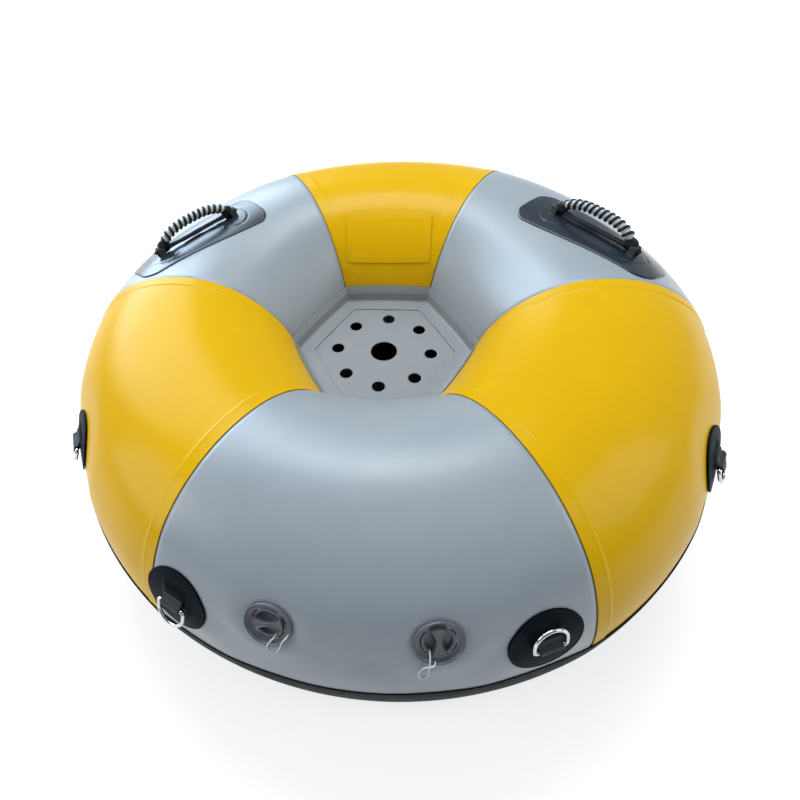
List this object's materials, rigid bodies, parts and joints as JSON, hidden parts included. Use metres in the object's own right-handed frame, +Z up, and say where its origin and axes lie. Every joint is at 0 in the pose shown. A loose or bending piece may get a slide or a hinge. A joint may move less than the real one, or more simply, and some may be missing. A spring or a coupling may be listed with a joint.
{
  "type": "inflatable swim ring",
  "caption": "Inflatable six-sided river and pool ring with a drained seat floor, fold-down carry handles, hinged D-rings and screw-cap air valves.",
  "frame": {"origin": "middle of the ring, on the surface that it stands on", "axes": "+Z up through the seat floor; -Y towards the panel with the two valves; +X to the right seen from that side"},
  "size_m": [1.209, 1.1966, 0.5061],
  "materials": {
    "yellow fabric": "satin",
    "grey fabric": "satin",
    "black fabric": "satin",
    "floor fabric": "satin",
    "webbing": "woven",
    "wound cord": "wound",
    "chromed steel": "polished",
    "spring steel": "drawn wire",
    "valve plastic": "moulded",
    "seal rubber": "moulded",
    "tether cord": "braided"
  },
  "bodies": {
    "tube": {"panel_back_right": "grey fabric", "panel_back": "yellow fabric", "panel_back_left": "grey fabric", "panel_front_left": "yellow fabric", "panel_front": "grey fabric", "panel_front_right": "yellow fabric", "bottom_skin": "black fabric", "seat_band": "grey fabric", "chamber_wall_front": "grey fabric", "chamber_wall_back": "grey fabric", "floor_sheet": "floor fabric", "floor_tape_1": "floor fabric", "floor_tape_2": "floor fabric", "floor_tape_3": "floor fabric", "floor_tape_4": "floor fabric", "floor_tape_5": "floor fabric", "floor_tape_6": "floor fabric", "back_patch": "yellow fabric", "front_left_d_patch": "black fabric", "front_left_d_strap": "webbing", "front_right_d_patch": "black fabric", "front_right_d_strap": "webbing", "left_d_patch": "black fabric", "left_d_strap": "webbing", "right_d_patch": "black fabric", "right_d_strap": "webbing", "back_left_d_patch": "black fabric", "back_left_d_strap": "webbing", "back_right_d_patch": "black fabric", "back_right_d_strap": "webbing", "tow_patch": "black fabric", "tow_d_strap": "webbing", "valve_left_body": "valve plastic", "valve_left_nut": "valve plastic", "valve_right_body": "valve plastic", "valve_right_nut": "valve plastic", "handle_left_pad": "black fabric", "handle_right_pad": "black fabric", "valve_left_spring": "spring steel", "valve_left_tether": "tether cord", "valve_right_spring": "spring steel", "valve_right_tether": "tether cord"},
    "front_left_ring": {"front_left_d_ring": "chromed steel"},
    "front_right_ring": {"front_right_d_ring": "chromed steel"},
    "left_ring": {"left_d_ring": "chromed steel"},
    "right_ring": {"right_d_ring": "chromed steel"},
    "back_left_ring": {"back_left_d_ring": "chromed steel"},
    "back_right_ring": {"back_right_d_ring": "chromed steel"},
    "tow_ring": {"tow_d_ring": "chromed steel"},
    "handle_left": {"handle_left_grip": "wound cord", "handle_left_webbing": "webbing"},
    "handle_right": {"handle_right_grip": "wound cord", "handle_right_webbing": "webbing"},
    "valve_left_stem": {"valve_left_stem": "valve plastic"},
    "valve_left_seal": {"valve_left_seal": "seal rubber"},
    "valve_left_cap": {"valve_left_cap": "valve plastic"},
    "valve_right_stem": {"valve_right_stem": "valve plastic"},
    "valve_right_seal": {"valve_right_seal": "seal rubber"},
    "valve_right_cap": {"valve_right_cap": "valve plastic"}
  },
  "joints": [
    {"name": "front_left_ring_swing", "type": "hinge", "parent": "tube", "child": "front_left_ring", "pos_m": [-0.25103, -0.52398, 0.34283], "axis": [-0.9099, 0.4146, 0.0101], "range_deg": [0, 170]},
    {"name": "front_right_ring_swing", "type": "hinge", "parent": "tube", "child": "front_right_ring", "pos_m": [0.22668, -0.53665, 0.33751], "axis": [0.9277, 0.3733, 0.0084], "range_deg": [0, 170]},
    {"name": "left_ring_swing", "type": "hinge", "parent": "tube", "child": "left_ring", "pos_m": [-0.49556, -0.28611, 0.35012], "axis": [-0.5, 0.866, 0], "range_deg": [0, 170]},
    {"name": "right_ring_swing", "type": "hinge", "parent": "tube", "child": "right_ring", "pos_m": [0.50759, -0.26984, 0.34668], "axis": [-0.4706, -0.8823, -0.0007], "range_deg": [0, 170]},
    {"name": "back_left_ring_swing", "type": "hinge", "parent": "tube", "child": "back_left_ring", "pos_m": [-0.54038, 0.19672, 0.34667], "axis": [0.3486, 0.9372, -0.0039], "range_deg": [0, 170]},
    {"name": "back_right_ring_swing", "type": "hinge", "parent": "tube", "child": "back_right_ring", "pos_m": [0.54038, 0.19672, 0.34667], "axis": [0.3486, -0.9372, 0.0039], "range_deg": [0, 170]},
    {"name": "tow_ring_swing", "type": "hinge", "parent": "tube", "child": "tow_ring", "pos_m": [0, 0.57222, 0.35012], "axis": [1, 0, 0], "range_deg": [0, 170]},
    {"name": "handle_left_fold", "type": "hinge", "parent": "tube", "child": "handle_left", "pos_m": [-0.37305, 0.13722, 0.46943], "axis": [-0.6608, -0.7496, -0.0374], "range_deg": [-80, 80], "stiffness_Nm_per_rad": 0.4},
    {"name": "handle_right_fold", "type": "hinge", "parent": "tube", "child": "handle_right", "pos_m": [0.37305, 0.13722, 0.46943], "axis": [-0.6608, 0.7496, 0.0374], "range_deg": [-80, 80], "stiffness_Nm_per_rad": 0.4},
    {"name": "valve_left_stem_push", "type": "slide", "parent": "tube", "child": "valve_left_stem", "axis": [0.1534, 0.7954, -0.5863], "range_m": [0, 0.007], "stiffness_N_per_m": 400, "springref_m": -0.004, "deforming": ["valve_left_spring"]},
    {"name": "valve_left_seal_lift", "type": "slide", "parent": "tube", "child": "valve_left_seal", "axis": [-0.1534, -0.7954, 0.5863], "range_m": [0, 0.003]},
    {"name": "valve_left_cap_turn", "type": "hinge", "parent": "valve_left_seal", "child": "valve_left_cap", "pos_m": [-0.11095, -0.54013, 0.3691], "axis": [-0.1534, -0.7954, 0.5863], "range_deg": [0, 360], "deforming": ["valve_left_tether"]},
    {"name": "valve_right_stem_push", "type": "slide", "parent": "tube", "child": "valve_right_stem", "axis": [-0.1277, 0.8028, -0.5824], "range_m": [0, 0.007], "stiffness_N_per_m": 400, "springref_m": -0.004, "deforming": ["valve_right_spring"]},
    {"name": "valve_right_seal_lift", "type": "slide", "parent": "tube", "child": "valve_right_seal", "axis": [0.1277, -0.8028, 0.5824], "range_m": [0, 0.003]},
    {"name": "valve_right_cap_turn", "type": "hinge", "parent": "valve_right_seal", "child": "valve_right_cap", "pos_m": [0.09208, -0.54431, 0.36811], "axis": [0.1277, -0.8028, 0.5824], "range_deg": [0, 360], "deforming": ["valve_right_tether"]}
  ],
  "couplings": [
    {"joint": "valve_left_cap_turn", "follows": "valve_left_seal_lift", "rad_per_m": 2094.4},
    {"joint": "valve_right_cap_turn", "follows": "valve_right_seal_lift", "rad_per_m": 2094.4}
  ]
}
